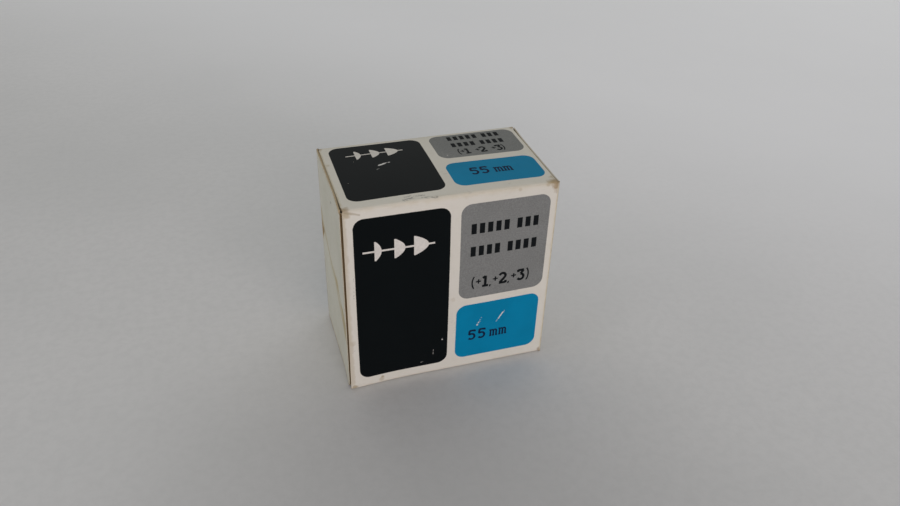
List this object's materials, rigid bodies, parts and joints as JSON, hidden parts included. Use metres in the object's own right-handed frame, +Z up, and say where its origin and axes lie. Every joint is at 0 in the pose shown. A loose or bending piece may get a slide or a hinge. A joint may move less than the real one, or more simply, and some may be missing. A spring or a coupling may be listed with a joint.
{
  "type": "close-up lens set in folding carton",
  "caption": "Tuck-end paperboard carton holding a round screw-together set of close-up lenses in a clear-lidded case, with folding flaps and a slide-out case.",
  "frame": {"origin": "centre of the carton's base, on the face it rests on", "axes": "+X to the right along the carton's tube, +Y from the front panel to the back panel, +Z up"},
  "size_m": [0.07, 0.042, 0.0704],
  "materials": {
    "board": "matte",
    "glue": "matte",
    "paper": "matte",
    "case_dark": "satin",
    "case_clear": "gloss",
    "foam": "matte",
    "black_metal": "satin",
    "glass": "gloss"
  },
  "bodies": {
    "carton": {"carton_tube": "board", "glue_seam": "glue", "instruction_leaflet": "paper"},
    "left_closure": {"left_closure": "board"},
    "left_tuck": {"left_tuck_flap": "board"},
    "left_dust_top": {"left_dust_flap_top": "board"},
    "left_dust_bottom": {"left_dust_flap_bottom": "board"},
    "right_closure": {"right_closure": "board"},
    "right_tuck": {"right_tuck_flap": "board"},
    "right_dust_top": {"right_dust_flap_top": "board"},
    "right_dust_bottom": {"right_dust_flap_bottom": "board"},
    "case": {"case_base": "case_dark", "case_pad_rear": "foam"},
    "case_lid": {"case_lid": "case_clear", "case_pad_front": "foam"},
    "lens_plus3": {"lens_plus3_ring": "black_metal", "lens_plus3_glass": "glass", "lens_plus3_retainer": "black_metal"},
    "lens_plus2": {"lens_plus2_ring": "black_metal", "lens_plus2_glass": "glass", "lens_plus2_retainer": "black_metal"},
    "lens_plus1": {"lens_plus1_ring": "black_metal", "lens_plus1_glass": "glass", "lens_plus1_retainer": "black_metal"}
  },
  "joints": [
    {"name": "left_closure_crease", "type": "hinge", "parent": "carton", "child": "left_closure", "pos_m": [-0.035, 0.021, 0.0352], "axis": [0, 0, -1], "range_deg": [0, 180]},
    {"name": "left_tuck_crease", "type": "hinge", "parent": "left_closure", "child": "left_tuck", "pos_m": [-0.035, -0.0203, 0.0352], "axis": [0, 0, -1], "range_deg": [0, 45]},
    {"name": "left_dust_top_crease", "type": "hinge", "parent": "carton", "child": "left_dust_top", "pos_m": [-0.03445, 0, 0.0704], "axis": [0, 1, 0], "range_deg": [0, 108]},
    {"name": "left_dust_bottom_crease", "type": "hinge", "parent": "carton", "child": "left_dust_bottom", "pos_m": [-0.03445, 0, 0], "axis": [0, -1, 0], "range_deg": [0, 90]},
    {"name": "right_closure_crease", "type": "hinge", "parent": "carton", "child": "right_closure", "pos_m": [0.035, -0.021, 0.0352], "axis": [0, 0, -1], "range_deg": [0, 180]},
    {"name": "right_tuck_crease", "type": "hinge", "parent": "right_closure", "child": "right_tuck", "pos_m": [0.035, 0.0203, 0.0352], "axis": [0, 0, -1], "range_deg": [0, 45]},
    {"name": "right_dust_top_crease", "type": "hinge", "parent": "carton", "child": "right_dust_top", "pos_m": [0.03445, 0, 0.0704], "axis": [0, -1, 0], "range_deg": [0, 108]},
    {"name": "right_dust_bottom_crease", "type": "hinge", "parent": "carton", "child": "right_dust_bottom", "pos_m": [0.03445, 0, 0], "axis": [0, 1, 0], "range_deg": [0, 90]},
    {"name": "case_slide", "type": "slide", "parent": "carton", "child": "case", "axis": [-1, 0, 0], "range_m": [0, 0.0376]},
    {"name": "case_lid_turn", "type": "hinge", "parent": "case", "child": "case_lid", "pos_m": [0.0013, -0.0175, 0.0335], "axis": [0, -1, 0], "continuous": true},
    {"name": "lens_plus3_turn", "type": "hinge", "parent": "case", "child": "lens_plus3", "pos_m": [0.0013, 0, 0.0335], "axis": [0, -1, 0], "continuous": true},
    {"name": "lens_plus2_unscrew", "type": "hinge", "parent": "lens_plus3", "child": "lens_plus2", "pos_m": [0.0013, 0, 0.0335], "axis": [0, -1, 0], "range_deg": [0, 360]},
    {"name": "lens_plus1_unscrew", "type": "hinge", "parent": "lens_plus2", "child": "lens_plus1", "pos_m": [0.0013, 0, 0.0335], "axis": [0, -1, 0], "range_deg": [0, 360]}
  ],
  "couplings": [
    {"joint": "left_closure_crease", "follows": "case_slide", "rad_per_m": 83.333},
    {"joint": "left_tuck_crease", "follows": "case_slide", "rad_per_m": 20.833},
    {"joint": "left_dust_top_crease", "follows": "case_slide", "rad_per_m": 50},
    {"joint": "left_dust_bottom_crease", "follows": "case_slide", "rad_per_m": 41.667},
    {"joint": "right_tuck_crease", "follows": "right_closure_crease", "ratio": 0.25},
    {"joint": "right_dust_top_crease", "follows": "right_closure_crease", "ratio": 0.6},
    {"joint": "right_dust_bottom_crease", "follows": "right_closure_crease", "ratio": 0.5}
  ]
}
